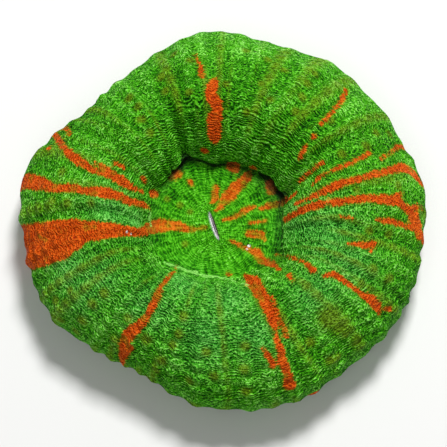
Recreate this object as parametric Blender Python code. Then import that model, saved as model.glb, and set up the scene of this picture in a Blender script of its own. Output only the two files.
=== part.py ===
"""A doughnut coral: one fleshy polyp, about 100 mm across, cut off flat where it grew.

The polyp is one closed body. It starts as a sphere whose latitude circles are laid out,
in order, along the polyp's own section: down in the slit of the mouth, over the sunken
oral disc, under the lip of the rim, over the rim's crest, down the flank to the margin,
and across the flat cut underneath. The section changes round the compass, because the
polyp is not quite round and its lip hangs over the disc on one side only. The sphere's
meridians follow the septa, the hard radial blades under the flesh: every second one runs
along a ridge, and the one between runs along a furrow.

Frame: millimetres inside this file until the mesh is made, +Z up, the cut at Z = 0.
Azimuths are anticlockwise from +X as seen from above.
"""

import math

import bmesh
import bpy
from mathutils import Vector, noise

MM = 0.001

# How fine the faceted body is: two meridians to a septum, and the latitude circles
# between each knot of the section and the next, from the mouth's edge to the cut
SEPTA = 50
SEGMENTS = 2 * SEPTA
CIRCLES = (2, 3, 3, 3, 6, 9, 9, 4, 4, 3)

# Driving heights, from the cut up
MOUTH_HEIGHT = 15.5
DISC_HEIGHT = 14.2
LIP_RISE = 1.7
SHOULDER_DROP = 4.6
SHOULDER_HEIGHT = 14.0
GIRTH_HEIGHT = 9.0
MARGIN_HEIGHT = 3.0

# The mouth: a slit, set off the middle of the polyp
MOUTH_X = -1.84
MOUTH_Y = -4.98
SLIT_AZIMUTH = math.radians(108)
SLIT_HALF_LENGTH = 2.9
SLIT_DEPTH = 2.0
SLIT_FADE = 8.0

# The compass tables have one value for every 15 degrees, starting at +X
COMPASS_STEP = 15
REACH = (
    52.1, 53.4, 53.1, 53.3, 54.2, 52.6, 54.3, 51.3, 47.4, 46.4, 48.5, 49.6,
    46.8, 45.6, 44.4, 41.1, 39.1, 41.3, 43.8, 45.2, 46.9, 46.8, 49.2, 50.8,
)
LIP_REACH = (
    16.8, 17.4, 18.2, 18.2, 17.1, 16.9, 16.1, 17.9, 17.3, 16.9, 16.7, 16.4,
    16.2, 15.9, 15.7, 15.4, 14.2, 13.7, 13.6, 14.1, 14.8, 15.8, 17.8, 17.2,
)
LIP_OVERHANG = (
    0.9, 1.2, 2.2, 2.8, 3.0, 3.0, 3.0, 2.8, 2.2, 1.2, 0.4, 0.5,
    0.7, 0.3, 0.0, 0.0, 0.0, 0.0, 0.0, 0.0, 0.0, 0.2, 0.8, 0.8,
)
CREST_HEIGHT = (
    25.6, 26.2, 26.8, 27.4, 28.0, 28.2, 28.2, 28.0, 27.2, 26.4, 26.0, 25.8,
    25.4, 25.0, 24.6, 24.4, 24.2, 24.2, 24.4, 24.6, 24.8, 25.0, 25.2, 25.4,
)

# The section tables have one value for each knot of the section. Heights are of relief
# that stands out from the plain section, and beads are counted outwards from the lip.
RIDGE_HEIGHT = (0.0, 0.0, 0.04, 0.08, 0.12, 0.20, 0.28, 0.34, 0.28, 0.24, 0.20, 0.0, 0.0)
LOBE_HEIGHT = (0.0, 0.0, 0.10, 0.25, 0.50, 1.10, 1.50, 1.50, 1.20, 0.80, 0.40, 0.0, 0.0)
BEAD_HEIGHT = (0.0, 0.0, 0.00, 0.00, 0.00, 0.05, 0.16, 0.30, 0.34, 0.32, 0.20, 0.0, 0.0)
FOLD_DEPTH = (0.0, 0.0, 0.00, 0.15, 1.00, 0.95, 0.60, 0.25, 0.08, 0.00, 0.00, 0.0, 0.0)
BEAD_COUNT = (0.0, 0.0, 0.00, 0.00, 0.00, 1.00, 3.00, 6.00, 9.00, 10.3, 11.6, 12.6, 12.6)

# How many lobes fit in a radian, roughly, and how they drift on the way out
LOBES_PER_RADIAN = 4.2
LOBE_DRIFT = 0.3

# Septa show unevenly, and most on the side at this azimuth
BOLDEST_AZIMUTH = math.radians(250)

# Folds that run out from the lip: azimuth there, turn on the way out, half width, depth
FOLDS = (
    (112.0, 4.0, 4.5, 1.7),
    (22.0, 10.0, 5.5, 2.0),
    (68.0, 4.0, 6.0, 0.7),
    (150.0, 3.0, 7.0, 0.9),
    (178.0, 2.0, 6.0, 0.9),
    (-28.0, 0.0, 6.0, 1.2),
    (-66.0, 3.0, 6.0, 0.8),
    (-104.0, -3.0, 7.0, 0.7),
    (-140.0, 2.0, 7.0, 0.8),
)
LIP_KNOT = 4

FLESH_COLOUR = (0.06, 0.25, 0.015, 1.0)
FLESH_ROUGHNESS = 0.55


def around(table, azimuth):
    """A compass table's value at an azimuth in radians, on a smooth closed curve."""
    place = math.degrees(azimuth) / COMPASS_STEP
    first = math.floor(place)
    share = place - first
    a, b, c, d = (table[(first + k) % len(table)] for k in (-1, 0, 1, 2))
    bend = 2 * a - 5 * b + 4 * c - d
    return b + 0.5 * share * (c - a + share * (bend + share * (3 * (b - c) + d - a)))


def outward(table, place):
    """A section table's value at a place counted in knots, such as 3.5."""
    k = min(int(place), len(table) - 2)
    return table[k] + (place - k) * (table[k + 1] - table[k])


def section(azimuth):
    """(distance from the mouth, height) of the section's knots, from the slit to the cut's middle."""
    reach = around(REACH, azimuth)
    lip = around(LIP_REACH, azimuth)
    overhang = around(LIP_OVERHANG, azimuth)
    crest = around(CREST_HEIGHT, azimuth)
    rim = reach - lip
    lip_height = DISC_HEIGHT + LIP_RISE + 0.25 * overhang
    return (
        (0.0, MOUTH_HEIGHT - SLIT_DEPTH),
        (0.9, MOUTH_HEIGHT),
        (0.55 * lip, DISC_HEIGHT),
        (lip - 1.6 + 1.5 * overhang, DISC_HEIGHT + 1.0),
        (lip, lip_height),
        (lip + 0.12 * rim, 0.45 * lip_height + 0.55 * crest),
        (lip + 0.36 * rim, crest),
        (lip + 0.74 * rim, crest - SHOULDER_DROP),
        (reach - 1.2, SHOULDER_HEIGHT),
        (reach, GIRTH_HEIGHT),
        (reach - 1.6, MARGIN_HEIGHT),
        (reach - 4.5, 0.0),
        (0.0, 0.0),
    )


def slopes(knots):
    """Spacing and slope at each knot, for a smooth curve that keeps to the knots' spacing."""
    gaps = [max(math.dist(a, b), 1e-6) ** 0.5 for a, b in zip(knots, knots[1:])]
    leans = []
    for k in range(len(knots)):
        before, after = max(k - 1, 0), min(k + 1, len(knots) - 1)
        width = sum(gaps[before:after])
        leans.append(tuple((knots[after][i] - knots[before][i]) / width for i in (0, 1)))
    return gaps, leans


def along(knots, place):
    """Point and outward normal of the section at a place counted in knots."""
    k = min(int(place), len(knots) - 2)
    share = place - k
    gaps, leans = slopes(knots)
    start, end = knots[k], knots[k + 1]
    point, heading = [], []
    for i in (0, 1):
        out, into = leans[k][i] * gaps[k], leans[k + 1][i] * gaps[k]
        square = 3 * (end[i] - start[i]) - 2 * out - into
        cube = 2 * (start[i] - end[i]) + out + into
        point.append(start[i] + share * (out + share * (square + share * cube)))
        heading.append(out + share * (2 * square + share * 3 * cube))
    length = math.hypot(*heading) or 1.0
    return point, (-heading[1] / length, heading[0] / length)


def unevenness(azimuth):
    """How far the septa run ahead of an even spacing, in septa."""
    return 0.35 * math.sin(3 * azimuth + 0.6) + 0.25 * math.sin(7 * azimuth + 2.1)


def septum_azimuth(count):
    """Azimuth of a septum by its count, found by closing in on it from the even spacing."""
    azimuth = math.tau * count / SEPTA
    for _ in range(20):
        azimuth = math.tau * (count - unevenness(azimuth)) / SEPTA
    return azimuth


def lobes(azimuth, place):
    """Soft radial swellings of the flesh, from -1 to 1."""
    drift = LOBE_DRIFT * place
    broad, narrow = LOBES_PER_RADIAN, 2.2 * LOBES_PER_RADIAN
    east, north = math.cos(azimuth), math.sin(azimuth)
    swelling = noise.noise(Vector((broad * east, broad * north, drift)))
    return swelling + 0.5 * noise.noise(Vector((narrow * east, narrow * north, 5.0 + 2 * drift)))


def folds(azimuth, place):
    """Depth of the creases that part the rim's lobes, deepest at the lip."""
    total = 0.0
    for at, turn, width, depth in FOLDS:
        off = math.degrees(azimuth) - at - turn * max(place - LIP_KNOT, 0.0) / 3
        off = (off + 180) % 360 - 180
        total += depth * math.exp(-((off / width) ** 2))
    return total * outward(FOLD_DEPTH, place)


def boldness(azimuth):
    """How strongly a septum shows through the flesh, 1 being usual."""
    spot = Vector((7 * math.cos(azimuth), 7 * math.sin(azimuth), 9.0))
    side = 0.75 + 0.35 * math.cos(azimuth - BOLDEST_AZIMUTH)
    return max(side + 0.9 * noise.noise(spot), 0.1)


def relief(count, azimuth, place):
    """How far the flesh stands out from the plain section: ridges, beads on them, lobes, folds."""
    ridge = math.cos(math.tau * count)
    stagger = 0.5 * (round(count) % 2)
    bead = math.cos(math.tau * (outward(BEAD_COUNT, place) + stagger))
    height = ridge * outward(RIDGE_HEIGHT, place)
    height += 0.5 * (1 + ridge) * bead * outward(BEAD_HEIGHT, place)
    height *= boldness(azimuth)
    return height + lobes(azimuth, place) * outward(LOBE_HEIGHT, place) - folds(azimuth, place)


def ease(value):
    """0 below 0, 1 above 1, and an even ease between them."""
    share = min(max(value, 0.0), 1.0)
    return share * share * (3 - 2 * share)


def on_plan(distance, azimuth):
    """(x, y) of a point at a distance from the mouth: circles, pulled long near the slit."""
    near = 1 - ease(distance / SLIT_FADE)
    turn = azimuth - SLIT_AZIMUTH
    length = (distance + SLIT_HALF_LENGTH * near * min(distance / 0.4, 1.0)) * math.cos(turn)
    width = distance * (1 - 0.35 * near) * math.sin(turn)
    cos, sin = math.cos(SLIT_AZIMUTH), math.sin(SLIT_AZIMUTH)
    return MOUTH_X + length * cos - width * sin, MOUTH_Y + length * sin + width * cos


def flesh_point(count, place):
    """The point of the polyp's skin on a septum and at a place along its section."""
    azimuth = septum_azimuth(count)
    (distance, height), (out, up) = along(section(azimuth), place)
    stand = relief(count, azimuth, place)
    x, y = on_plan(max(distance + out * stand, 0.0), azimuth)
    return Vector((x, y, max(height + up * stand, 0.0))) * MM


def circle_places():
    """Where along the section the sphere's latitude circles lie."""
    places = [0.45, 1.0]
    for k, count in enumerate(CIRCLES):
        places += [k + 1 + (n + 1) / count for n in range(count)]
    return places + [11.5]


def make_polyp():
    """The coral: a sphere laid out along the section, mouth at one pole and cut at the other."""
    places = circle_places()
    body = bmesh.new()
    bmesh.ops.create_uvsphere(body, u_segments=SEGMENTS, v_segments=len(places) + 1, radius=1)
    step = math.pi / (len(places) + 1)
    for vertex in body.verts:
        circle = round(math.acos(max(-1.0, min(1.0, vertex.co.z))) / step)
        meridian = round(math.atan2(vertex.co.y, vertex.co.x) / math.tau * SEGMENTS) % SEGMENTS
        if circle == 0:
            vertex.co = flesh_point(0, 0.0)
        elif circle > len(places):
            vertex.co = Vector((MOUTH_X, MOUTH_Y, 0.0)) * MM
        else:
            vertex.co = flesh_point(meridian / 2, places[circle - 1])
    mesh = bpy.data.meshes.new("polyp")
    body.to_mesh(mesh)
    body.free()
    mesh.shade_smooth()
    mesh.set_sharp_from_angle(angle=math.radians(60))
    polyp = bpy.data.objects.new("polyp", mesh)
    bpy.context.scene.collection.objects.link(polyp)
    polyp.data.materials.append(flesh())


def flesh():
    """Green flesh with a soft wet sheen."""
    material = bpy.data.materials.new("flesh")
    material.use_nodes = True
    shader = material.node_tree.nodes["Principled BSDF"]
    shader.inputs["Base Color"].default_value = FLESH_COLOUR
    shader.inputs["Roughness"].default_value = FLESH_ROUGHNESS
    shader.inputs["Metallic"].default_value = 0.0
    return material


def main():
    for thing in list(bpy.data.objects):
        bpy.data.objects.remove(thing)
    make_polyp()


main()
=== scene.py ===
"""A doughnut coral dressed for rendering: one puffed polyp, finely wrinkled all over, green
with orange streaks that run out from its mouth, on a pale studio floor.

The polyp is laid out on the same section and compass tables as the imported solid, only
finer, and then wrinkled. Places on it are told in knots of its section, counted from the
slit of the mouth over the rim to the middle of the cut, and in septa round the compass.
Tables and spacings are in millimetres; the finished meshes are in metres, +Z up.
"""

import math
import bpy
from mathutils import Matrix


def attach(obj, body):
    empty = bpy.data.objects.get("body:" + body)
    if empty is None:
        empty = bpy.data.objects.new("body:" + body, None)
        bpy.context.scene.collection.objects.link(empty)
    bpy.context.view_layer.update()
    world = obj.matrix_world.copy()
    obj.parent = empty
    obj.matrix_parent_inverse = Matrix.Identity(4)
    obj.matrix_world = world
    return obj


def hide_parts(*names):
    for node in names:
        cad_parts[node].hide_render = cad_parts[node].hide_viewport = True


bl_info = {
    "name": "Doughnut Coral",
    "version": (1, 0, 0),
    "blender": (4, 5, 0),
    "location": "3D View > Sidebar > Coral",
    "description": "Models a fleshy green and orange doughnut coral and its studio",
    "category": "Object",
}

import bpy
import numpy as np
from mathutils import Matrix, Vector, noise
from mathutils.bvhtree import BVHTree

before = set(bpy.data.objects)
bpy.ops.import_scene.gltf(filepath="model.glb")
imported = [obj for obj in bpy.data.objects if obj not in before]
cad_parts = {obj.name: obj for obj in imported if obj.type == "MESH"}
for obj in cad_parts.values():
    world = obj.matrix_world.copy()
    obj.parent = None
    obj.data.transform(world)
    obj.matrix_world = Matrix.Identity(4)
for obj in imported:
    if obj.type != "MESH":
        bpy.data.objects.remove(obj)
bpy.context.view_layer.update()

MM = 0.001
POLYP = "coral_polyp"

# How fine the mesh is: meridians in all, and latitude circles between each knot of the
# section and the next
MERIDIANS = 322
CIRCLES = (8, 26, 22, 12, 30, 42, 64, 50, 18, 16, 8, 10)

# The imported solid's own section, repeated here: heights, the slit, and the compass
# tables, which have one value for every 15 degrees anticlockwise from +X
SEPTA = 50
MOUTH_HEIGHT = 15.5
DISC_HEIGHT = 14.2
LIP_RISE = 1.7
SHOULDER_DROP = 4.6
SHOULDER_HEIGHT = 14.0
GIRTH_HEIGHT = 9.0
MARGIN_HEIGHT = 3.0
MOUTH_X = -1.84
MOUTH_Y = -4.98
SLIT_AZIMUTH = math.radians(108)
SLIT_HALF_LENGTH = 2.9
SLIT_DEPTH = 2.0
SLIT_FADE = 8.0
COMPASS_STEP = 15
REACH = (
    52.1, 53.4, 53.1, 53.3, 54.2, 52.6, 54.3, 51.3, 47.4, 46.4, 48.5, 49.6,
    46.8, 45.6, 44.4, 41.1, 39.1, 41.3, 43.8, 45.2, 46.9, 46.8, 49.2, 50.8,
)
LIP_REACH = (
    16.8, 17.4, 18.2, 18.2, 17.1, 16.9, 16.1, 17.9, 17.3, 16.9, 16.7, 16.4,
    16.2, 15.9, 15.7, 15.4, 14.2, 13.7, 13.6, 14.1, 14.8, 15.8, 17.8, 17.2,
)
LIP_OVERHANG = (
    0.9, 1.2, 2.2, 2.8, 3.0, 3.0, 3.0, 2.8, 2.2, 1.2, 0.4, 0.5,
    0.7, 0.3, 0.0, 0.0, 0.0, 0.0, 0.0, 0.0, 0.0, 0.2, 0.8, 0.8,
)
CREST_HEIGHT = (
    25.6, 26.2, 26.8, 27.4, 28.0, 28.2, 28.2, 28.0, 27.2, 26.4, 26.0, 25.8,
    25.4, 25.0, 24.6, 24.4, 24.2, 24.2, 24.4, 24.6, 24.8, 25.0, 25.2, 25.4,
)

# Section tables, with one value for each knot: relief in millimetres, and beads counted
RIDGE_HEIGHT = (0.0, 0.0, 0.04, 0.08, 0.12, 0.20, 0.28, 0.34, 0.28, 0.24, 0.20, 0.0, 0.0)
LOBE_HEIGHT = (0.0, 0.0, 0.10, 0.25, 0.50, 1.10, 1.50, 1.50, 1.20, 0.80, 0.40, 0.0, 0.0)
BEAD_HEIGHT = (0.0, 0.0, 0.00, 0.00, 0.00, 0.05, 0.16, 0.30, 0.34, 0.32, 0.20, 0.0, 0.0)
FOLD_DEPTH = (0.0, 0.0, 0.00, 0.15, 1.00, 0.95, 0.60, 0.25, 0.08, 0.00, 0.00, 0.0, 0.0)
BEAD_COUNT = (0.0, 0.0, 0.00, 0.00, 0.00, 1.00, 3.00, 6.00, 9.00, 10.3, 11.6, 12.6, 12.6)
WRINKLE_SHARE = (0.0, 0.15, 0.30, 0.40, 0.80, 1.00, 1.00, 1.00, 0.95, 0.80, 0.50, 0.0, 0.0)
FULL_OVERHANG = 2.0
POCKET_KNOTS = (2.66, 2.80, 3.9, 4.05)
POCKET_SHADE = (0.0, 0.92, 0.92, 0.0)
# How far the wrinkles bow out over each septum, in their own spacings
WRINKLE_BOW = (0.0, 0.0, 0.00, 0.10, 0.20, 0.25, 0.50, 0.95, 1.10, 0.80, 0.40, 0.0, 0.0)
SEPTA_SHOW = (0.0, 0.15, 0.30, 0.40, 0.80, 1.00, 1.00, 1.00, 0.95, 0.80, 0.50, 1.0, 1.0)
LOBES_PER_RADIAN = 4.2
LOBE_DRIFT = 0.3
BANDS_PER_RADIAN = 7.0
BAND_DRIFT = 0.35
BOLDEST_AZIMUTH = math.radians(250)
FOLDS = (
    (112.0, 4.0, 4.5, 1.7),
    (22.0, 10.0, 5.5, 2.0),
    (68.0, 4.0, 6.0, 0.7),
    (150.0, 3.0, 7.0, 0.9),
    (178.0, 2.0, 6.0, 0.9),
    (-28.0, 0.0, 6.0, 1.2),
    (-66.0, 3.0, 6.0, 0.8),
    (-104.0, -3.0, 7.0, 0.7),
    (-140.0, 2.0, 7.0, 0.8),
)
LIP_KNOT = 4
# How far inside the lip, in knots, the rim's wrinkles give way to the disc's lines
DISC_FADE = 0.8

# The fine wrinkles run round the mouth, this far apart in millimetres. Each wander shifts
# them by a number of spacings, over patches about so many millimetres long and wide.
WRINKLE_SPACING = 0.70
WRINKLE_WANDERS = ((1.8, 13.0, 11.0), (1.3, 4.2, 3.2), (0.6, 1.9, 1.5))
# Their strength, on the far wall over the disc and elsewhere, and how far apart it changes
WALL_STRENGTH = 1.0
RIM_STRENGTH = 0.50
STRENGTH_SIZE = 3.2
DISC_LINES_PER_RADIAN = 13.0

# How far apart the patterns in the flesh's and the stone's colour lie, in metres
FLECK_SIZE = 0.00042
GRAIN_SIZE = 0.00085
WAVER_SIZE = 0.0011
STONE_SIZE = 0.0012
BREAK_SIZE = 0.0018
BURN_SIZE = 0.0035
DRIFT_SIZE = 0.009
# The raggedness of a streak's edge: lumps to a metre over it, and to a wrinkle along it
RAGGED_TO_METRE = 450.0
RAGGED_TO_WRINKLE = 0.8
# Knots between which the mouth's lining gives way to flesh, and the flesh to the cut
MOUTH_EDGE = (0.85, 1.1)
CUT_EDGE = (10.9, 11.0)
FLESH_SPECULAR = 0.06

# The studio: the floor's drop under the cut, each light's place, width and power, the
# point they are aimed at, and the strength of the light from all round
FLOOR_DROP = 0.0003
STUDIO_ROUGHNESS = 0.9
KEY_LIGHT = ((0.13, 0.42, 0.73), 0.20, 8.6)
FILL_LIGHT = ((-0.15, -0.60, 0.75), 0.6, 2.0)
LIGHT_AIM = (0.0, 0.0, 0.02)
SURROUNDINGS = 0.28

# The view: a long lens, high over the near side, and its frame of 447 x 447 pixels
VIEW_PIXELS = 447
VIEW_ELEVATION = math.radians(70)
LENS = 150.0
SENSOR = 36.0
PIXEL = 0.244
MOUTH_PIXEL = (214.0, 226.0)
# A place that just misses the coral's outline is pulled in to it, by such shares of its
# distance from the mouth and so many times at most
PULL_STEP = 0.004
PULL_TRIES = 12
# Further than this from every path, in millimetres, a path has no effect
PATH_LIMIT = 4.0

# Orange streaks. Each point is a place in the view and a half width in millimetres there.
STREAKS = {
    "north_thin": ((195, 54, 0.25), (200, 66, 0.5), (202, 76, 0.75)),
    "north": (
        (215, 79, 0.5), (213, 84, 1.35), (211, 94, 1.3), (213, 99, 1.5), (217, 103, 1.3), (217, 112, 1.4),
        (215, 117, 1.75), (214, 128, 1.6), (215, 132, 1.75), (215, 138, 1.5),
    ),
    "under_lip": ((203, 151, 0.8), (206, 151, 0.6)),
    "north_east": ((346, 89, 0.6), (342, 101, 0.6), (333, 111, 0.5), (321, 124, 0.45)),
    "north_east_spot": ((314, 136, 0.6), (314, 137, 0.6)),
    "north_east_tail": ((306, 146, 0.6), (300, 158, 0.6)),
    "east_crease": ((322, 163, 0.6), (300, 181, 0.6)),
    "east_ladder": ((295, 194, 0.75), (284, 202, 0.75)),
    "east_upper": (
        (370, 153, 0.6), (353, 162, 0.5), (338, 168, 0.5), (319, 178, 0.5), (313, 184, 0.35),
    ),
    "east_edge": ((405, 147, 0.75), (397, 147, 0.6), (392, 152, 0.35), (381, 159, 0.5)),
    "east_long": (
        (421, 183, 1.0), (413, 173, 1.7), (404, 168, 1.4), (384, 172, 0.85), (362, 178, 0.75),
        (342, 183, 0.85), (329, 189, 1.0), (310, 198, 0.6), (295, 204, 0.35),
    ),
    "east_broad": (
        (285, 220, 0.6), (300, 211, 0.75), (313, 206, 1.0), (338, 202, 0.85), (368, 198, 1.0),
        (385, 199, 1.3), (394, 200, 1.3), (403, 205, 1.0), (410, 211, 1.1), (414, 218, 1.6),
        (417, 226, 2.1), (419, 234, 1.3),
    ),
    "east_spur": ((417, 206, 0.6), (410, 209, 0.6)),
    "east_tip": ((403, 193, 0.3), (396, 197, 0.9)),
    "east_branch": ((376, 220, 0.25), (391, 221, 0.85), (401, 224, 0.75), (412, 228, 0.85)),
    "east_faint": ((341, 216, 0.3), (352, 219, 0.35)),
    "east_island": ((348, 244, 0.25), (366, 245, 1.0), (376, 243, 0.5), (370, 252, 0.25)),
    "south_east": (
        (324, 276, 0.35), (334, 274, 0.75), (344, 281, 0.6), (351, 286, 0.5), (361, 294, 0.6),
        (369, 299, 1.3), (377, 306, 1.2), (379, 313, 0.6),
    ),
    "south_east_faint": ((386, 309, 0.5), (390, 309, 0.6)),
    "disc_south_east": (
        (230, 241, 0.25), (240, 245, 0.6), (248, 249, 0.5), (257, 253, 1.2), (262, 261, 1.1),
        (272, 264, 0.85), (279, 270, 0.5),
    ),
    "disc_south_east_end": ((289, 275, 0.6), (293, 281, 0.35)),
    "step_line": ((276, 254, 0.25), (291, 257, 0.25), (304, 262, 0.35), (313, 270, 0.75)),
    "south_head": ((245, 276, 0.5), (252, 279, 1.5), (256, 285, 1.5)),
    "south": (
        (252, 282, 1.5), (261, 295, 1.6), (267, 307, 1.45), (273, 321, 1.2), (276, 333, 0.5),
        (281, 350, 1.0), (283, 362, 1.1), (288, 376, 1.0), (290, 385, 1.45),
    ),
    "south_side": ((272, 298, 0.5), (280, 319, 0.5), (286, 335, 0.6)),
    "south_spur": ((263, 349, 0.35), (268, 356, 0.75), (273, 365, 0.75)),
    "south_margin": ((312, 397, 0.9), (318, 395, 0.7)),
    "south_dot": ((228, 274, 0.5), (229, 274, 0.5)),
    "south_west": (
        (176, 267, 0.2), (165, 283, 0.6), (156, 298, 1.0), (149, 313, 0.75), (141, 323, 1.35),
        (128, 336, 1.45), (126, 346, 1.9), (123, 356, 1.1), (121, 365, 0.6),
    ),
    "west": (
        (24, 245, 5.0), (31, 247, 5.6), (45, 243, 5.4), (60, 240, 4.9), (72, 235, 4.0),
        (85, 231, 2.45), (100, 231, 2.2), (115, 230, 1.85), (130, 231, 1.2), (142, 232, 1.0),
        (150, 228, 1.5), (158, 226, 1.8), (168, 225, 1.4), (178, 226, 1.2), (187, 229, 0.8),
        (197, 229, 0.5), (206, 227, 0.3),
    ),
    "west_upper": (
        (26, 181, 2.1), (42, 184, 1.7), (53, 188, 1.1), (74, 188, 1.0), (87, 191, 0.85),
        (96, 191, 1.2), (106, 193, 1.45), (115, 194, 1.2), (129, 201, 1.0), (143, 205, 0.85),
        (149, 208, 0.35),
    ),
    "north_west": (
        (56, 135, 0.75), (62, 146, 0.85), (72, 156, 1.0), (82, 163, 1.1), (93, 171, 0.5),
        (109, 173, 1.2), (122, 181, 1.2), (133, 188, 0.6), (143, 192, 0.35),
    ),
    "north_west_branch": ((95, 163, 0.35), (106, 169, 0.75)),
    "north_west_fleck": ((115, 163, 0.5), (123, 168, 0.5)),
    "north_west_dot": ((142, 178, 0.5), (145, 182, 0.35)),
    "north_west_blob": ((152, 194, 1.0), (155, 194, 0.8)),
    "north_west_edge": ((66, 128, 0.5), (70, 135, 0.5)),
    "west_spot": ((49, 148, 0.6), (50, 149, 0.5)),
    "disc_north_west": ((172, 177, 0.8), (178, 174, 1.1)),
    "disc_north_west_fleck": ((190, 182, 0.6), (192, 185, 0.35)),
    "disc_north": ((216, 188, 0.75), (215, 198, 0.85), (212, 203, 0.35)),
    "disc_north_east": (
        (253, 168, 0.85), (247, 177, 1.1), (237, 187, 1.45), (228, 197, 1.6), (221, 205, 0.85),
        (216, 211, 0.35),
    ),
    "disc_under_lip": ((231, 166, 1.1), (235, 168, 1.2)),
    "disc_east_corner": ((270, 184, 1.1), (272, 190, 1.3)),
    "disc_east": (
        (254, 207, 0.35), (245, 210, 0.75), (239, 215, 0.6), (229, 219, 0.6), (223, 220, 0.25),
    ),
    "disc_east_upper": ((280, 203, 0.75), (268, 207, 0.75), (261, 209, 0.35)),
    "disc_east_faint": ((265, 221, 0.35), (250, 223, 0.35)),
    "disc_east_blob": ((250, 234, 1.0), (260, 234, 1.0), (264, 240, 0.3)),
}

# Streaks that run on down the side past the outline, and the knots and shares of their
# width that they pass there
RUN_DOWN = (
    "west", "west_upper", "north_west", "north_west_edge", "east_long", "east_edge", "east_broad",
    "east_spur", "south_margin",
)
SIDE_KNOTS = ((8.7, 1.0), (9.0, 1.0), (9.3, 0.95), (9.6, 0.85), (9.9, 0.65), (10.15, 0.35))

# Olive patches: the boldest beads' smooth, rounded tops, with a radius in millimetres
PATCHES = (
    (174, 54, 1.2), (162, 76, 1.5), (166, 91, 1.2), (189, 92, 1.0), (129, 98, 1.3),
    (138, 106, 1.2), (220, 46, 1.0), (246, 51, 1.1), (268, 60, 1.2), (262, 84, 1.1),
    (226, 84, 1.0), (302, 97, 1.2), (314, 73, 1.2), (307, 83, 1.3), (376, 133, 1.1),
    (366, 146, 1.3), (342, 154, 1.2), (390, 134, 1.2), (398, 185, 1.3), (357, 190, 1.1),
    (52, 201, 1.2), (67, 203, 1.2), (91, 203, 1.1), (62, 172, 1.2), (56, 301, 1.3),
    (70, 291, 1.2), (92, 304, 1.3), (104, 293, 1.3), (82, 321, 1.3), (114, 340, 1.3),
    (146, 339, 1.5), (183, 316, 1.3), (178, 334, 1.3), (173, 345, 1.2), (161, 361, 1.4),
    (245, 346, 1.2), (244, 369, 1.3), (246, 391, 1.3), (330, 317, 3.2), (341, 325, 2.6),
    (346, 334, 1.3), (374, 268, 1.3), (388, 279, 1.2), (361, 284, 1.2), (357, 342, 1.4),
    (310, 342, 1.3), (307, 286, 1.2), (369, 231, 1.2), (389, 234, 1.2), (390, 278, 1.1),
    (76, 331, 1.1), (156, 370, 1.1), (148, 379, 1.1), (141, 120, 1.3), (150, 133, 1.2),
    (190, 60, 1.1), (284, 70, 1.1), (296, 112, 1.2), (330, 120, 1.2), (206, 352, 1.2),
    (214, 376, 1.2), (128, 318, 1.2), (60, 320, 1.2), (190, 380, 1.2), (330, 360, 1.3),
    (338, 358, 1.2), (270, 100, 1.1), (247, 112, 1.1), (180, 205, 0.9), (190, 212, 0.8),
    (167, 199, 0.8), (185, 244, 0.9),
)
# How far those tops stand out, in millimetres
PATCH_HEIGHT = 0.18

# Painted highlights: pale green lines along the inner lip
LIP_HIGHLIGHTS = {
    "south_lip": ((165, 262, 0.15), (185, 270, 0.3), (206, 276, 0.3), (228, 279, 0.3), (248, 285, 0.15)),
    "west_lip": ((150, 212, 0.15), (149, 218, 0.3), (151, 226, 0.15)),
}
# Painted shade: dark lines in the creases where the flesh steps down to the disc, and under the lip's
# edge
CREASE_SHADE_LINES = {
    "east_step": (
        (281, 199, 0.1), (279, 207, 0.12), (283, 214, 0.12), (283, 226, 0.12), (282, 238, 0.12),
        (283, 250, 0.1), (284, 258, 0.05),
    ),
    "east_crease": ((281, 196, 0.15), (287, 189, 0.1), (293, 181, 0.05)),
    "north_west_notch": ((186, 158, 0.25), (181, 166, 0.2), (172, 171, 0.15), (165, 178, 0.1)),
    "north_lip": (
        (190, 160, 0.2), (196, 160, 0.15), (202, 161, 0.2), (209, 164, 0.25), (216, 166, 0.25),
        (223, 165, 0.2), (231, 164, 0.15), (240, 167, 0.1), (250, 171, 0.1),
    ),
    "east_corner": ((259, 173, 0.2), (266, 177, 0.7), (271, 184, 1.1), (276, 190, 1.1), (281, 195, 0.5)),
}
# Where the green turns minty, with a radius in millimetres
MINT_PLACES = (
    (296, 222, 6.0), (312, 226, 7.0), (330, 236, 9.0), (352, 262, 7.0), (70, 270, 6.0),
    (80, 290, 6.0), (112, 210, 7.0), (135, 222, 5.0), (180, 283, 7.0), (225, 300, 7.0),
    (315, 292, 7.0), (150, 305, 7.0), (205, 335, 8.0), (255, 335, 7.0), (100, 275, 6.0),
)
# Where the flesh is made paler or darker than round about, partly as painted light and shade on walls and
# under the lip: a radius in millimetres and a share
TONES = (
    (140, 166, 5.0, 0.11), (175, 122, 4.0, 0.06), (270, 138, 5.0, 0.08), (292, 190, 3.0, 0.08),
    (284, 228, 3.0, 0.07), (253, 275, 3.0, 0.08), (120, 325, 5.0, 0.06), (347, 340, 4.0, 0.08),
    (300, 288, 4.0, -0.10), (133, 127, 4.0, -0.12), (88, 218, 3.0, -0.07), (243, 183, 4.0, -0.06),
    (345, 172, 6.0, -0.05), (418, 226, 3.5, 0.25), (408, 168, 3.0, 0.20), (60, 262, 3.0, 0.12),
)
# Where the disc lies in the lip's shade, with a radius in millimetres
SHADED_PLACES = (
    (231, 167, 1.4), (240, 171, 1.4), (250, 174, 1.8), (259, 179, 2.0), (267, 186, 2.4),
    (275, 194, 1.8), (197, 161, 1.0), (212, 166, 1.0), (182, 168, 1.0), (272, 200, 1.2),
)

# Pale specks of grit on the flesh
SPECKS = ((249, 246, 0.45), (247, 249, 0.3), (127, 232, 0.4), (131, 234, 0.3), (197, 138, 0.3))


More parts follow.
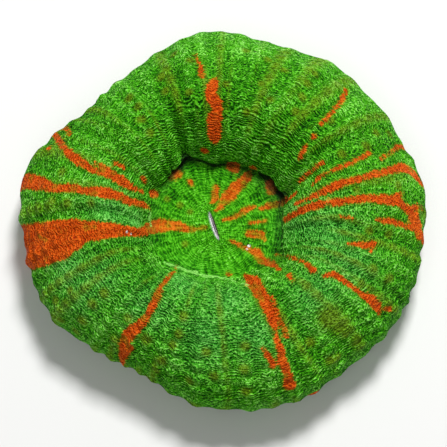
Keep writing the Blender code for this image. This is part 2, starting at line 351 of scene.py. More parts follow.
class CoralSizes(bpy.types.PropertyGroup):
    """The depth of the flesh's fine relief, and the width of the floor."""

    wrinkle_depth: bpy.props.FloatProperty(
        name="Wrinkle depth",
        description="Height of the fine wrinkles from furrow to crest",
        default=0.00034,
        min=0.0,
        max=0.001,
        precision=5,
        subtype="DISTANCE",
        unit="LENGTH",
    )
    grain_depth: bpy.props.FloatProperty(
        name="Grain depth",
        description="Height of the grain between the wrinkles, which is too fine to model",
        default=0.0003,
        min=0.0,
        max=0.001,
        precision=5,
        subtype="DISTANCE",
        unit="LENGTH",
    )
    floor_width: bpy.props.FloatProperty(
        name="Floor width",
        description="How far the studio floor runs each way",
        default=6.0,
        subtype="DISTANCE",
        unit="LENGTH",
    )


def colour_property(name, description, default):
    """A colour that a user can change, with no alpha."""
    return bpy.props.FloatVectorProperty(
        name=name, description=description, default=default, size=3, min=0.0, max=1.0, subtype="COLOR"
    )


class CoralColours(bpy.types.PropertyGroup):
    """The finishes' colours, as linear red, green and blue, painted shade and highlights among them."""

    furrow: colour_property("Furrow green", "Green flesh down in the furrows", (0.0, 0.024, 0.0))
    flesh: colour_property("Flesh green", "Green flesh between furrow and crest", (0.024, 0.235, 0.0005))
    crest: colour_property("Crest green", "Green flesh on the wrinkles' crests", (0.110, 0.54, 0.013))
    # Painted highlight: pale lines on the sharpest crests and along the inner lip stand in for glints of
    # light
    glint: colour_property("Crest line", "Pale thin lines along the sharpest crests", (0.34, 0.86, 0.16))
    mint: colour_property("Mint", "Cooler green between furrow and crest", (0.022, 0.24, 0.020))
    mint_crest: colour_property("Mint crest", "Cooler green on the crests", (0.18, 0.66, 0.14))
    olive: colour_property("Olive patch", "Smooth bead tops", (0.17, 0.27, 0.006))
    ember: colour_property("Orange furrow", "Orange flesh down in the furrows", (0.26, 0.014, 0.0))
    orange: colour_property("Orange flesh", "Orange flesh between furrow and crest", (0.56, 0.062, 0.001))
    flame: colour_property("Orange crest", "Orange flesh on the crests", (0.86, 0.16, 0.012))
    # Painted shade: the colour of the unlit flesh under the lip, in the creases and in the lip's shadow
    # on the disc
    pocket: colour_property("Pocket", "Unlit flesh deep under the lip", (0.004, 0.010, 0.004))
    # The slit: its own pale lining, brightened as painted light, and a painted shadow down its east side
    mouth: colour_property("Mouth", "Pale lining of the slit", (0.90, 0.84, 0.90))
    slit_shadow: colour_property("Throat", "Dark depth of the slit", (0.045, 0.035, 0.025))
    speck: colour_property("Speck", "Grit on the flesh", (0.75, 0.72, 0.68))
    skeleton: colour_property("Skeleton", "Stony skeleton bared by the cut", (0.62, 0.56, 0.45))
    studio: colour_property("Studio", "Pale floor and surroundings", (0.74, 0.74, 0.73))


def around(table, azimuth):
    """A compass table's value at an azimuth in radians, on a smooth closed curve."""
    place = math.degrees(azimuth) / COMPASS_STEP
    first = math.floor(place)
    share = place - first
    a, b, c, d = (table[(first + k) % len(table)] for k in (-1, 0, 1, 2))
    bend = 2 * a - 5 * b + 4 * c - d
    return b + 0.5 * share * (c - a + share * (bend + share * (3 * (b - c) + d - a)))


def outward(table, places):
    """A section table's values at places counted in knots."""
    return np.interp(places, np.arange(len(table)), table)


def ease(values):
    """0 below 0, 1 above 1, and an even ease between them."""
    share = np.clip(values, 0.0, 1.0)
    return share * share * (3 - 2 * share)


def section(azimuth):
    """(distance from the mouth, height) of the section's knots, from the slit to the cut's middle."""
    reach = around(REACH, azimuth)
    lip = around(LIP_REACH, azimuth)
    overhang = around(LIP_OVERHANG, azimuth)
    crest = around(CREST_HEIGHT, azimuth)
    rim = reach - lip
    lip_height = DISC_HEIGHT + LIP_RISE + 0.25 * overhang
    return np.array((
        (0.0, MOUTH_HEIGHT - SLIT_DEPTH),
        (0.9, MOUTH_HEIGHT),
        (0.55 * lip, DISC_HEIGHT + 0.08 * overhang),
        (lip - 1.6 + 1.5 * overhang, DISC_HEIGHT + 1.0 + 0.2 * overhang),
        (lip, lip_height),
        (lip + 0.12 * rim, 0.45 * lip_height + 0.55 * crest),
        (lip + 0.36 * rim, crest),
        (lip + 0.74 * rim, crest - SHOULDER_DROP),
        (reach - 1.2, SHOULDER_HEIGHT),
        (reach, GIRTH_HEIGHT),
        (reach - 1.6, MARGIN_HEIGHT),
        (reach - 4.5, 0.0),
        (0.0, 0.0),
    ))


def curve(knots, places):
    """Points and outward normals of the section at places counted in knots."""
    last = len(knots) - 1
    gaps = np.maximum(np.linalg.norm(np.diff(knots, axis=0), axis=1), 1e-6) ** 0.5
    reach = np.concatenate(([0.0], np.cumsum(gaps)))
    before = np.maximum(np.arange(last + 1) - 1, 0)
    after = np.minimum(np.arange(last + 1) + 1, last)
    leans = (knots[after] - knots[before]) / (reach[after] - reach[before])[:, None]
    k = np.minimum(places.astype(int), last - 1)
    share = (places - k)[:, None]
    out, into = leans[k] * gaps[k, None], leans[k + 1] * gaps[k, None]
    square = 3 * (knots[k + 1] - knots[k]) - 2 * out - into
    cube = 2 * (knots[k] - knots[k + 1]) + out + into
    points = knots[k] + share * (out + share * (square + share * cube))
    heading = out + share * (2 * square + share * 3 * cube)
    heading /= np.maximum(np.linalg.norm(heading, axis=1), 1e-9)[:, None]
    return points, np.stack((-heading[:, 1], heading[:, 0]), axis=1)


def unevenness(azimuth):
    """How far the septa run ahead of an even spacing, in septa."""
    return 0.35 * math.sin(3 * azimuth + 0.6) + 0.25 * math.sin(7 * azimuth + 2.1)


def septum_azimuth(count):
    """Azimuth of a septum by its count, found by closing in on it from the even spacing."""
    azimuth = math.tau * count / SEPTA
    for _ in range(20):
        azimuth = math.tau * (count - unevenness(azimuth)) / SEPTA
    return azimuth


def lobes(azimuth, places):
    """Soft radial swellings of the flesh, from -1 to 1."""
    broad, narrow = LOBES_PER_RADIAN, 2.2 * LOBES_PER_RADIAN
    east, north = math.cos(azimuth), math.sin(azimuth)
    swellings = []
    for drift in LOBE_DRIFT * places:
        swelling = noise.noise(Vector((broad * east, broad * north, drift)))
        swelling += 0.5 * noise.noise(Vector((narrow * east, narrow * north, 5.0 + 2 * drift)))
        swellings.append(swelling)
    return np.array(swellings)


def folds(azimuth, places):
    """Depth of the creases that part the rim's lobes, deepest at the lip."""
    total = np.zeros(len(places))
    for at, turn, width, depth in FOLDS:
        off = math.degrees(azimuth) - at - turn * np.maximum(places - LIP_KNOT, 0.0) / 3
        off = (off + 180) % 360 - 180
        total += depth * np.exp(-((off / width) ** 2))
    return total * outward(FOLD_DEPTH, places)


def boldness(azimuth):
    """How strongly a septum shows through the flesh, 1 being usual."""
    spot = Vector((7 * math.cos(azimuth), 7 * math.sin(azimuth), 9.0))
    side = 0.75 + 0.35 * math.cos(azimuth - BOLDEST_AZIMUTH)
    return max(side + 0.9 * noise.noise(spot), 0.1)


def bead_waves(count, places):
    """The beads along a septum, -1 between two of them to 1 on top of one."""
    stagger = 0.5 * (round(count) % 2)
    return np.cos(math.tau * (outward(BEAD_COUNT, places) + stagger))


def septum_tops(count, azimuth, places):
    """1 on top of a bold septum, 0 between two septa or where a septum is faint."""
    ridge = (0.5 + 0.5 * math.cos(math.tau * count)) ** 1.2
    east, north = BANDS_PER_RADIAN * math.cos(azimuth), BANDS_PER_RADIAN * math.sin(azimuth)
    showing = [noise.noise(Vector((east, north, BAND_DRIFT * place))) for place in places]
    return ridge * ease(0.35 + 3 * np.array(showing)) * (0.85 + 0.15 * bead_waves(count, places))


def relief(count, azimuth, places):
    """How far the flesh stands out from the plain section: ridges, beads on them, lobes, folds."""
    ridge = math.cos(math.tau * count)
    bead = bead_waves(count, places)
    height = ridge * outward(RIDGE_HEIGHT, places)
    height = height + 0.5 * (1 + ridge) * bead * outward(BEAD_HEIGHT, places)
    height = height * boldness(azimuth)
    return height + lobes(azimuth, places) * outward(LOBE_HEIGHT, places) - folds(azimuth, places)


def on_plan(distance, azimuth, places):
    """(x, y) of points at a distance from the mouth: circles, pulled long near the slit."""
    near = np.where(places < LIP_KNOT, 1 - ease(distance / SLIT_FADE), 0.0)
    turn = azimuth - SLIT_AZIMUTH
    length = (distance + SLIT_HALF_LENGTH * near * np.minimum(distance / 0.4, 1.0)) * math.cos(turn)
    width = distance * (1 - 0.35 * near) * math.sin(turn)
    cos, sin = math.cos(SLIT_AZIMUTH), math.sin(SLIT_AZIMUTH)
    return MOUTH_X + length * cos - width * sin, MOUTH_Y + length * sin + width * cos


def on_flesh(azimuth, place):
    """The point of the flesh at an azimuth in radians and a place in knots, as a row."""
    places = np.array([place])
    count = SEPTA * azimuth / math.tau + unevenness(azimuth)
    plain, normals = curve(section(azimuth), places)
    stand = relief(count, azimuth, places)
    x, y = on_plan(plain[:, 0] + normals[:, 0] * stand, azimuth, places)
    return np.array((x[0], y[0], max(plain[0, 1] + normals[0, 1] * stand[0], 0.0)))


def run_down(found, widths):
    """Carries a streak that reaches the outline on down the side, narrowing."""
    mouth = np.array((MOUTH_X, MOUTH_Y))
    if np.linalg.norm(found[0][:2] - mouth) > np.linalg.norm(found[-1][:2] - mouth):
        found, widths = found[::-1], widths[::-1]
    azimuth = math.atan2(found[-1][1] - MOUTH_Y, found[-1][0] - MOUTH_X)
    lower = [(knot, share) for knot, share in SIDE_KNOTS if on_flesh(azimuth, knot)[2] < found[-1][2]]
    points = [on_flesh(azimuth, knot) for knot, _ in lower]
    return found + points, widths + [widths[-1] * share for _, share in lower]


def circle_places():
    """Where along the section the sphere's latitude circles lie."""
    places = []
    for k, count in enumerate(CIRCLES):
        places += [k + (n + 1) / count for n in range(count)]
    return np.array(places[:-1])


def wrinkle_phases(spots, ways):
    """How many wrinkles each spot lies out from the mouth, one to each crest."""
    phases = []
    for (x, y, _), way in zip(spots, ways):
        phase = way / WRINKLE_SPACING
        for shift, length, width in WRINKLE_WANDERS:
            phase += shift * noise.noise(Vector((x / length, y / length, way / width + shift)))
        phases.append(phase)
    return np.array(phases)


def wrinkle_strengths(spots, azimuth, places):
    """How strongly the wrinkles run round the mouth at each spot, from 0 to 1."""
    far = max(math.sin(azimuth), 0.0)
    wall = far * np.clip(1 - np.abs(places - 5.3) / 1.6, 0.0, 1.0)
    strengths = RIM_STRENGTH + (WALL_STRENGTH - RIM_STRENGTH) * wall
    patches = [noise.noise(Vector(spot) / STRENGTH_SIZE) for spot in spots]
    return np.clip(strengths * (1 + 1.3 * np.array(patches)), 0.0, 1.0)


def disc_lines(azimuth, ways):
    """The soft lines that run out over the disc, -1 in a furrow to 1 on a crest."""
    east, north = DISC_LINES_PER_RADIAN * math.cos(azimuth), DISC_LINES_PER_RADIAN * math.sin(azimuth)
    lines = [1 - 5 * abs(noise.noise(Vector((east, north, 0.25 * way)))) for way in ways]
    return np.clip(lines, -1.0, 1.0)


def polyp_grid():
    """Every vertex of the polyp between its poles: places, points, normals and named numbers."""
    places = circle_places()
    points = np.zeros((MERIDIANS, len(places), 3))
    outs = np.zeros((MERIDIANS, len(places), 3))
    names = ("phase", "strength", "disc_line", "ridge", "swell", "band", "shade")
    numbers = {name: np.zeros((MERIDIANS, len(places))) for name in names}
    for meridian in range(MERIDIANS):
        count = meridian * SEPTA / MERIDIANS
        azimuth = septum_azimuth(count)
        plain, normals = curve(section(azimuth), places)
        stand = relief(count, azimuth, places)
        x, y = on_plan(np.maximum(plain[:, 0] + normals[:, 0] * stand, 0.0), azimuth, places)
        z = np.maximum(plain[:, 1] + normals[:, 1] * stand, 0.0)
        ways = np.cumsum(np.linalg.norm(np.diff(plain, axis=0, prepend=plain[:1]), axis=1))
        points[meridian] = np.stack((x, y, z), axis=1)
        ridge = math.cos(math.tau * count)
        bow = ridge * outward(WRINKLE_BOW, places) * (0.65 + 0.35 * math.sin(azimuth))
        numbers["phase"][meridian] = wrinkle_phases(points[meridian], ways) - bow
        numbers["strength"][meridian] = wrinkle_strengths(points[meridian], azimuth, places)
        numbers["disc_line"][meridian] = disc_lines(azimuth, ways)
        numbers["ridge"][meridian] = ridge * outward(SEPTA_SHOW, places)
        numbers["swell"][meridian] = lobes(azimuth, places) * outward(WRINKLE_SHARE, places)
        numbers["band"][meridian] = septum_tops(count, azimuth, places)
        overhang = min(around(LIP_OVERHANG, azimuth) / FULL_OVERHANG, 1.0)
        numbers["shade"][meridian] = np.interp(places, POCKET_KNOTS, POCKET_SHADE) * overhang
        outs[meridian, :, 0] = normals[:, 0] * math.cos(azimuth)
        outs[meridian, :, 1] = normals[:, 0] * math.sin(azimuth)
        outs[meridian, :, 2] = normals[:, 1]
    return places, points, outs, numbers


def write_attribute(mesh, name, values):
    """Keeps one number for each vertex in the mesh, where the material reads it."""
    attribute = mesh.attributes.get(name) or mesh.attributes.new(name, "FLOAT", "POINT")
    attribute.data.foreach_set("value", np.asarray(values, np.float32))


def vertex_points(mesh):
    """The mesh's vertices as rows, in millimetres."""
    points = np.zeros(len(mesh.vertices) * 3)
    mesh.vertices.foreach_get("co", points)
    return points.reshape(-1, 3) / MM


def move_vertices(mesh, points):
    """Puts the mesh's vertices at these rows, in millimetres."""
    mesh.vertices.foreach_set("co", (points * MM).ravel())
    mesh.update()


class View:
    """The camera's place and its way of turning a pixel of the view into a line of sight."""

    def __init__(self):
        self.distance = VIEW_PIXELS * LENS / SENSOR * PIXEL
        sin, cos = math.sin(VIEW_ELEVATION), math.cos(VIEW_ELEVATION)
        self.forward = Vector((0.0, cos, -sin))
        self.up = Vector((0.0, sin, cos))
        self.right = Vector((1.0, 0.0, 0.0))
        mouth = Vector((MOUTH_X, MOUTH_Y, MOUTH_HEIGHT))
        middle = VIEW_PIXELS / 2
        aside = (middle - MOUTH_PIXEL[0]) * PIXEL
        above = (MOUTH_PIXEL[1] - middle) * PIXEL
        self.place = mouth + aside * self.right + above * self.up - self.distance * self.forward

    def sight(self, across, down):
        """Direction through a pixel, from the camera's place."""
        middle = VIEW_PIXELS / 2
        sideways, upwards = (across - middle) * PIXEL, (middle - down) * PIXEL
        return (self.distance * self.forward + sideways * self.right + upwards * self.up).normalized()


def seen_places(tree, view, pixels):
    """Where the lines of sight through the pixels meet the coral, in millimetres."""
    found = []
    for pixel in pixels:
        across, down = pixel[:2]
        for inwards in range(PULL_TRIES):
            pull = 1 - PULL_STEP * inwards
            middle = MOUTH_PIXEL
            nudged = (middle[0] + (across - middle[0]) * pull, middle[1] + (down - middle[1]) * pull)
            hit = tree.ray_cast(view.place * MM, view.sight(*nudged))[0]
            if hit is not None:
                break
        if hit is None:
            raise ValueError(f"the view's pixel {across}, {down} isn't on the coral")
        found.append(np.array(hit) / MM)
    return found


def beyond_path(points, path, widths):
    """How far each point is outside a path of varying half width, negative inside it."""
    nearest = np.full(len(points), 1e3)
    for start, end, first, last in zip(path, path[1:], widths, widths[1:]):
        run = end - start
        share = np.clip((points - start) @ run / max(run @ run, 1e-9), 0.0, 1.0)
        gap = np.linalg.norm(points - start - share[:, None] * run, axis=1)
        nearest = np.minimum(nearest, gap - first - share * (last - first))
    return nearest


class CORAL_OT_polyp(bpy.types.Operator):
    """Model the polyp: a sphere laid out along the coral's section, then wrinkled"""

    bl_idname = "coral.polyp"
    bl_label = "Model the polyp"

    def execute(self, context):
        places, points, outs, numbers = polyp_grid()
        bpy.ops.object.select_all(action="DESELECT")
        bpy.ops.mesh.primitive_uv_sphere_add(segments=MERIDIANS, ring_count=len(places) + 1, radius=1.0)
        polyp = context.object
        polyp.name = POLYP
        mesh = polyp.data
        sphere = vertex_points(mesh) * MM
        step = math.pi / (len(places) + 1)
        circle = np.rint(np.arccos(np.clip(sphere[:, 2], -1, 1)) / step).astype(int)
        turn = np.arctan2(sphere[:, 1], sphere[:, 0]) / math.tau
        meridian = np.rint(turn * MERIDIANS).astype(int) % MERIDIANS
        ring = np.clip(circle - 1, 0, len(places) - 1)
        depth = 0.5 * context.scene.coral_sizes.wrinkle_depth / MM * outward(WRINKLE_SHARE, places)
        disc_share = ease((LIP_KNOT - places) / DISC_FADE)
        wrinkles = np.cos(math.tau * numbers["phase"]) * numbers["strength"]
        creases = wrinkles * (1 - disc_share) + numbers["disc_line"] * disc_share
        shaped = points + outs * (creases * depth)[:, :, None]
        shaped[:, :, 2] = np.maximum(shaped[:, :, 2], 0.0)
        shaped[:, places >= len(CIRCLES) - 1, 2] = 0.0
        laid = shaped[meridian, ring]
        laid[circle == 0] = (MOUTH_X, MOUTH_Y, MOUTH_HEIGHT - SLIT_DEPTH)
        laid[circle > len(places)] = (MOUTH_X, MOUTH_Y, 0.0)
        move_vertices(mesh, laid)
        for name, values in numbers.items():
            write_attribute(mesh, name, values[meridian, ring])
        write_attribute(mesh, "section", places[ring])
        east, north = laid[:, 0] - MOUTH_X, laid[:, 1] - MOUTH_Y
        slit_side = east * math.sin(SLIT_AZIMUTH) - north * math.cos(SLIT_AZIMUTH)
        write_attribute(mesh, "slit_side", slit_side)
        bpy.ops.object.shade_smooth()
        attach(polyp, "root")
        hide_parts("polyp")
        return {"FINISHED"}


class CORAL_OT_markings(bpy.types.Operator):
    """Lay the streaks, the painted highlight lines, the painted shade in creases and under the lip, the
    bead tops and the specks on the polyp
    """

    bl_idname = "coral.markings"
    bl_label = "Lay out the markings"

    def execute(self, context):
        mesh = bpy.data.objects[POLYP].data
        points = vertex_points(mesh)
        faces = [tuple(face.vertices) for face in mesh.polygons]
        tree = BVHTree.FromPolygons([Vector(point * MM) for point in points], faces)
        view = View()
        write_attribute(mesh, "streak", self.paths(points, tree, view, STREAKS))
        write_attribute(mesh, "pale", self.paths(points, tree, view, LIP_HIGHLIGHTS))
        write_attribute(mesh, "groove", self.paths(points, tree, view, CREASE_SHADE_LINES))
        write_attribute(mesh, "mint", self.spots(points, tree, view, MINT_PLACES))
        write_attribute(mesh, "dusk", self.spots(points, tree, view, SHADED_PLACES))
        write_attribute(mesh, "tone", self.tones(points, tree, view))
        patch = self.spots(points, tree, view, PATCHES)
        write_attribute(mesh, "patch", patch)
        write_attribute(mesh, "speck", self.spots(points, tree, view, SPECKS))
        normals = np.zeros(len(points) * 3)
        mesh.vertices.foreach_get("normal", normals)
        move_vertices(mesh, points + normals.reshape(-1, 3) * (PATCH_HEIGHT * patch)[:, None])
        return {"FINISHED"}

    @staticmethod
    def paths(points, tree, view, paths):
        """How far each point is outside the nearest of the paths, in millimetres."""
        beyond = np.full(len(points), PATH_LIMIT)
        for name, path in paths.items():
            found, widths = seen_places(tree, view, path), [width for _, _, width in path]
            if name in RUN_DOWN:
                found, widths = run_down(found, widths)
            beyond = np.minimum(beyond, beyond_path(points, found, widths))
        return beyond

    @staticmethod
    def spots(points, tree, view, places):
        """1 in the middle of each round spot, fading to 0 at its edge and beyond."""
        strength = np.zeros(len(points))
        for (_, _, radius), middle in zip(places, seen_places(tree, view, places)):
            gap = np.linalg.norm(points - middle, axis=1) / radius
            strength = np.maximum(strength, np.exp(-gap ** 2))
        return strength

    @staticmethod
    def tones(points, tree, view):
        """How much paler or darker the flesh is made at each point, partly as painted light and shade,
        from its soft round places.
        """
        tones = np.zeros(len(points))
        for (_, _, radius, share), middle in zip(TONES, seen_places(tree, view, TONES)):
            gap = np.linalg.norm(points - middle, axis=1) / radius
            tones += share * np.exp(-gap ** 2)
        return tones


class Number:
    """A socket of a material's graph. Arithmetic on it adds Math nodes."""

    def __init__(self, graph, socket):
        self.graph = graph
        self.socket = socket

    def math(self, operation, *others):
        return self.graph.math(operation, self, *others)

    def __add__(self, other):
        return self.graph.math("ADD", self, other)

    def __radd__(self, other):
        return self.graph.math("ADD", other, self)

    def __sub__(self, other):
        return self.graph.math("SUBTRACT", self, other)

    def __rsub__(self, other):
        return self.graph.math("SUBTRACT", other, self)

    def __mul__(self, other):
        return self.graph.math("MULTIPLY", self, other)

    def __rmul__(self, other):
        return self.graph.math("MULTIPLY", other, self)

    def ease(self, low, high):
        """0 below low, 1 above high, and an even ease between them."""
        sockets = {"Value": self, "From Min": low, "From Max": high}
        return self.graph.node("ShaderNodeMapRange", {"interpolation_type": "SMOOTHSTEP"}, sockets)


class Graph:
    """Adds nodes to one material's tree."""

    def __init__(self, tree):
        self.tree = tree

    def node(self, kind, settings=None, sockets=None, output=0):
        """One node: its settings, then the values or links of its sockets. Gives one output."""
        made = self.tree.nodes.new(kind)
        for name, value in (settings or {}).items():
            if name == "stops":
                self.set_stops(made.color_ramp, value)
            else:
                setattr(made, name, value)
        for name, value in (sockets or {}).items():
            if isinstance(value, Number):
                self.tree.links.new(value.socket, made.inputs[name])
            else:
                made.inputs[name].default_value = value
        return Number(self, made.outputs[output])

    @staticmethod
    def set_stops(ramp, stops):
        """Gives a ramp its stops, each a place and a colour."""
        while len(ramp.elements) < len(stops):
            ramp.elements.new(0.5)
        for element, (place, colour) in zip(ramp.elements, stops):
            element.position = place
            element.color = (*colour, 1.0)

    def math(self, operation, *values):
        return self.node("ShaderNodeMath", {"operation": operation}, dict(enumerate(values)))

    def mix(self, share, under, over, blend="MIX"):
        """One colour over another."""
        settings = {"data_type": "RGBA", "blend_type": blend}
        under, over = (c if isinstance(c, Number) else (*c, 1.0) for c in (under, over))
        return self.node("ShaderNodeMix", settings, {0: share, 6: under, 7: over}, output=2)

    def ramp(self, value, *stops):
        return self.node("ShaderNodeValToRGB", {"stops": stops}, {"Fac": value})

    def stored(self, name):
        """A number that the mesh keeps for each vertex."""
        return self.node("ShaderNodeAttribute", {"attribute_name": name}, output="Fac")

    def noise(self, place, spacing, detail=2.0, roughness=0.5, lacunarity=2.0):
        """Smooth noise from 0 to 1 whose lumps lie about a spacing in metres apart."""
        sockets = {
            "Vector": place,
            "Scale": 1 / spacing,
            "Detail": detail,
            "Roughness": roughness,
            "Lacunarity": lacunarity,
        }
        return self.node("ShaderNodeTexNoise", None, sockets, output="Fac")


def flesh_material(sizes, colours):
    """Wrinkled flesh: green, with orange streaks, olive bead tops, a pale mouth, a stony cut, and painted
    shade and highlights.
    """
    material = bpy.data.materials.new("coral_flesh")
    material.use_nodes = True
    tree = material.node_tree
    shader = tree.nodes["Principled BSDF"]
    graph = Graph(tree)
    place = graph.node("ShaderNodeTexCoord", output="Object")
    knot = graph.stored("section")
    fleck = graph.noise(place, FLECK_SIZE, detail=1.0)
    net = (graph.noise(place, GRAIN_SIZE, detail=1.0) - 0.5).math("ABSOLUTE")
    grain = (1 - 7.0 * net).math("MAXIMUM", 0.0)
    phase = graph.stored("phase") + 1.5 * (graph.noise(place, WAVER_SIZE, detail=2.0) - 0.5)
    breaks = graph.noise(place, BREAK_SIZE, detail=2.0).ease(0.30, 0.60)
    ring = (0.5 + 0.5 * (math.tau * phase).math("COSINE")) * (0.68 + 0.32 * breaks)
    line = 0.5 + 0.5 * graph.stored("disc_line")
    disc = 1 - knot.ease(LIP_KNOT - DISC_FADE, LIP_KNOT)
    strength = graph.stored("strength")
    rim = ring.math("POWER", 0.6 + 1.1 * strength) * (0.15 + 0.72 * strength)
    rim = rim + grain * (0.85 - 0.72 * strength)
    crease = rim * (1 - disc) + (0.03 + 0.46 * line + 0.42 * ring) * disc
    detail = 0.72 * crease + 0.16 * grain + 0.40 * (fleck - 0.35)
    drift = graph.noise(place, DRIFT_SIZE, detail=2.0)
    tone = 0.88 * detail + 0.06 + 0.34 * (drift - 0.5)
    # Lighter over the septa's ridges; on the lobes, painted light on their swellings and painted shade
    # between them
    tone = tone + 0.05 * graph.stored("ridge") + 0.06 * graph.stored("swell")
    across = graph.node("ShaderNodeSeparateXYZ", None, {"Vector": place}, output="X")
    along = graph.node("ShaderNodeSeparateXYZ", None, {"Vector": place}, output="Y")
    # Painted shade on the far wall in the north, which faces away from the key light; painted light on
    # the north rim's outer slope, which faces it; and the disc darker towards its edge
    far = along.ease(-0.002, 0.020) * across.ease(-0.020, -0.008)
    tone = tone - 0.08 * far * (knot.ease(4.3, 5.5) * (1 - knot.ease(6.0, 7.0)))
    tone = tone + 0.07 * along.ease(0.020, 0.050) * across.ease(-0.035, -0.015) * knot.ease(6.3, 7.5)
    tone = tone - 0.08 * disc * knot.ease(2.0, 2.6) + 0.04 * graph.stored("mint")
    tone = tone + graph.stored("tone")
    # The flesh darkens into the furrows and pales on the crests: partly its own colour, partly painted
    # shade in the furrows; the pale crest lines at the top of the ramp are painted highlights
    green = graph.ramp(
        tone, (0.05, colours.furrow), (0.36, colours.flesh), (0.66, colours.crest), (0.88, colours.glint)
    )
    mint = graph.ramp(tone, (0.05, colours.furrow), (0.36, colours.mint), (0.80, colours.mint_crest))
    body = graph.mix(graph.stored("mint") * 0.6, green, mint)
    band = graph.stored("band") * (knot.ease(4.2, 6.0) * 0.7)
    patch = band.math("MAXIMUM", graph.stored("patch"))
    olive_share = (patch + 0.25 * (fleck - 0.5)).ease(0.0, 0.8) * 0.75
    olive = graph.ramp(detail, (0.05, tuple(0.25 * c for c in colours.olive)), (0.55, colours.olive))
    body = graph.mix(olive_share, body, olive)
    steps = {
        "X": across * RAGGED_TO_METRE,
        "Y": along * RAGGED_TO_METRE,
        "Z": phase * RAGGED_TO_WRINKLE,
    }
    ragged = graph.node("ShaderNodeCombineXYZ", None, steps)
    ragged = graph.noise(ragged, 1.0, detail=2.0, roughness=0.6)
    edge = graph.stored("streak") + 1.5 * (ragged - 0.5) + 0.8 * (fleck - 0.5) - 0.5 * (detail - 0.4)
    burn = graph.noise(place, BURN_SIZE, detail=2.0)
    # Orange darkens into the furrows and brightens on the crests: partly its own colour, partly painted
    # shade in the furrows
    orange = graph.ramp(
        0.8 * detail + 0.1 + 0.4 * (burn - 0.5) + 0.4 * (fleck - 0.5) + graph.stored("tone"),
        (0.05, colours.ember),
        (0.36, colours.orange),
        (0.85, colours.flame),
    )
    orange = graph.mix(burn.ease(0.56, 0.68) * 0.45, orange, olive)
    body = graph.mix((1 - edge.ease(0.0, 0.9)) * 0.45, body, olive)
    thin = disc * (1 - burn.ease(0.34, 0.54))
    burning = (1 - edge.ease(-0.28, 0.28)) * (1 - 0.55 * thin - 0.12 * disc)
    body = graph.mix(burning, body, orange)
    # Painted shade in the creases and under the lip's edge
    groove = 1 - graph.stored("groove").ease(-0.1, 0.3)
    body = graph.mix(groove * (0.9 - 0.3 * burning), body, colours.pocket)
    # Painted highlights along the inner lip
    pale = 1 - (graph.stored("pale") + 1.6 * (ragged - 0.5)).ease(-0.1, 0.25)
    body = graph.mix(pale * 0.7, body, colours.glint)
    body = graph.mix(graph.stored("dusk") * 0.6 * disc, body, colours.pocket)
    body = graph.mix(graph.stored("shade"), body, colours.pocket)
    body = graph.mix(graph.stored("speck").ease(0.35, 0.6), body, colours.speck)
    # Painted shadow on the slit's east side over its pale lining
    slit = graph.mix(graph.stored("slit_side").ease(0.10, 0.30), colours.mouth, colours.slit_shadow)
    body = graph.mix(1 - knot.ease(*MOUTH_EDGE), body, slit)
    stone = graph.noise(place, STONE_SIZE, detail=3.0)
    stone = graph.mix(stone, tuple(0.7 * c for c in colours.skeleton), colours.skeleton)
    septum = (graph.stored("ridge") + 1.2 * (drift - 0.5)).ease(-0.7, -0.1)
    gaps = (1 - septum) * (1 - knot.ease(11.7, 11.9))
    stone = graph.mix(gaps * 0.6, stone, tuple(0.35 * c for c in colours.skeleton))
    body = graph.mix(knot.ease(*CUT_EDGE), body, stone)
    tree.links.new(body.socket, shader.inputs["Base Color"])
    tree.links.new((0.66 - 0.14 * detail).socket, shader.inputs["Roughness"])
    height = 0.8 * crease + 0.6 * grain + 0.5 * fleck
    sockets = {"Strength": 1.0, "Distance": sizes.grain_depth, "Height": height}
    bump = graph.node("ShaderNodeBump", None, sockets)
    tree.links.new(bump.socket, shader.inputs["Normal"])
    shader.inputs["Specular IOR Level"].default_value = FLESH_SPECULAR
    return material


class CORAL_OT_flesh(bpy.types.Operator):
    """Give the polyp its flesh"""

    bl_idname = "coral.flesh"
    bl_label = "Finish the flesh"

    def execute(self, context):
        scene = context.scene
        mesh = bpy.data.objects[POLYP].data
        mesh.materials.clear()
        mesh.materials.append(flesh_material(scene.coral_sizes, scene.coral_colours))
        return {"FINISHED"}


def plain_material(name, colour):
    """A plain matt finish for the studio."""
    material = bpy.data.materials.new(name)
    material.use_nodes = True
    shader = material.node_tree.nodes["Principled BSDF"]
    shader.inputs["Base Color"].default_value = (*colour, 1.0)
    shader.inputs["Roughness"].default_value = STUDIO_ROUGHNESS
    return material


def soft_light(name, place, size, power):
    """A square light aimed at the coral's middle."""
    bpy.ops.object.select_all(action="DESELECT")
    bpy.ops.object.light_add(type="AREA", location=place)
    light = bpy.context.object
    light.name = name
    light.data.shape = "SQUARE"
    light.data.size = size
    light.data.energy = power
    aim = Vector(LIGHT_AIM) - Vector(place)
    light.rotation_euler = aim.to_track_quat("-Z", "Y").to_euler()


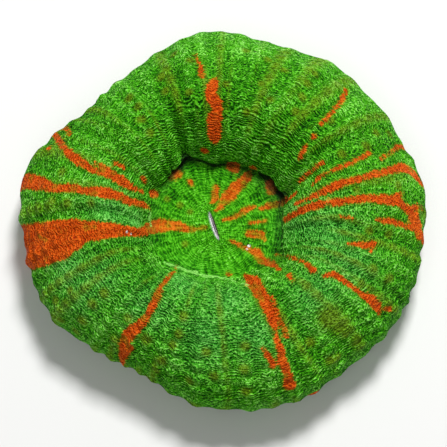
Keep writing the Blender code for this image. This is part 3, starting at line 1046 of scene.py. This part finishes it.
class CORAL_OT_stage(bpy.types.Operator):
    """Set the pale floor, the soft lights and the camera"""

    bl_idname = "coral.stage"
    bl_label = "Set the stage"

    def execute(self, context):
        scene = context.scene
        colours = scene.coral_colours
        bpy.ops.object.select_all(action="DESELECT")
        width = scene.coral_sizes.floor_width
        bpy.ops.mesh.primitive_plane_add(size=width, location=(0.0, 0.0, -FLOOR_DROP))
        floor = context.object
        floor.name = "studio_floor"
        floor.data.materials.append(plain_material("studio_floor", colours.studio))
        soft_light("key_light", *KEY_LIGHT)
        soft_light("fill_light", *FILL_LIGHT)
        world = bpy.data.worlds.new("studio")
        world.use_nodes = True
        background = world.node_tree.nodes["Background"]
        background.inputs["Color"].default_value = (*colours.studio, 1.0)
        background.inputs["Strength"].default_value = SURROUNDINGS
        scene.world = world
        self.place_camera(scene)
        scene.view_settings.view_transform = "Standard"
        return {"FINISHED"}

    @staticmethod
    def place_camera(scene):
        """Puts the camera where the view says, looking along its middle line."""
        view = View()
        bpy.ops.object.camera_add()
        camera = bpy.context.object
        camera.name = "camera"
        turn = Matrix((view.right, view.up, -view.forward)).transposed().to_4x4()
        camera.matrix_world = Matrix.Translation(view.place * MM) @ turn
        camera.data.lens = LENS
        camera.data.sensor_width = SENSOR
        camera.data.clip_start = 0.01
        scene.camera = camera


class CORAL_PT_panel(bpy.types.Panel):
    """The coral's operators, sizes and colours in the 3D view's sidebar."""

    bl_idname = "CORAL_PT_panel"
    bl_label = "Doughnut Coral"
    bl_space_type = "VIEW_3D"
    bl_region_type = "UI"
    bl_category = "Coral"

    def draw(self, context):
        layout = self.layout
        for operator in OPERATORS:
            layout.operator(operator.bl_idname)
        for group in (context.scene.coral_sizes, context.scene.coral_colours):
            for name in group.bl_rna.properties.keys():
                if name not in ("rna_type", "name"):
                    layout.prop(group, name)


OPERATORS = (CORAL_OT_polyp, CORAL_OT_markings, CORAL_OT_flesh, CORAL_OT_stage)
CLASSES = (CoralSizes, CoralColours, *OPERATORS, CORAL_PT_panel)


def register():
    for cls in CLASSES:
        bpy.utils.register_class(cls)
    bpy.types.Scene.coral_sizes = bpy.props.PointerProperty(type=CoralSizes)
    bpy.types.Scene.coral_colours = bpy.props.PointerProperty(type=CoralColours)


def unregister():
    del bpy.types.Scene.coral_colours
    del bpy.types.Scene.coral_sizes
    for cls in reversed(CLASSES):
        bpy.utils.unregister_class(cls)


def main():
    register()
    bpy.ops.coral.polyp()
    bpy.ops.coral.markings()
    bpy.ops.coral.flesh()
    bpy.ops.coral.stage()


if __name__ == "__main__":
    main()
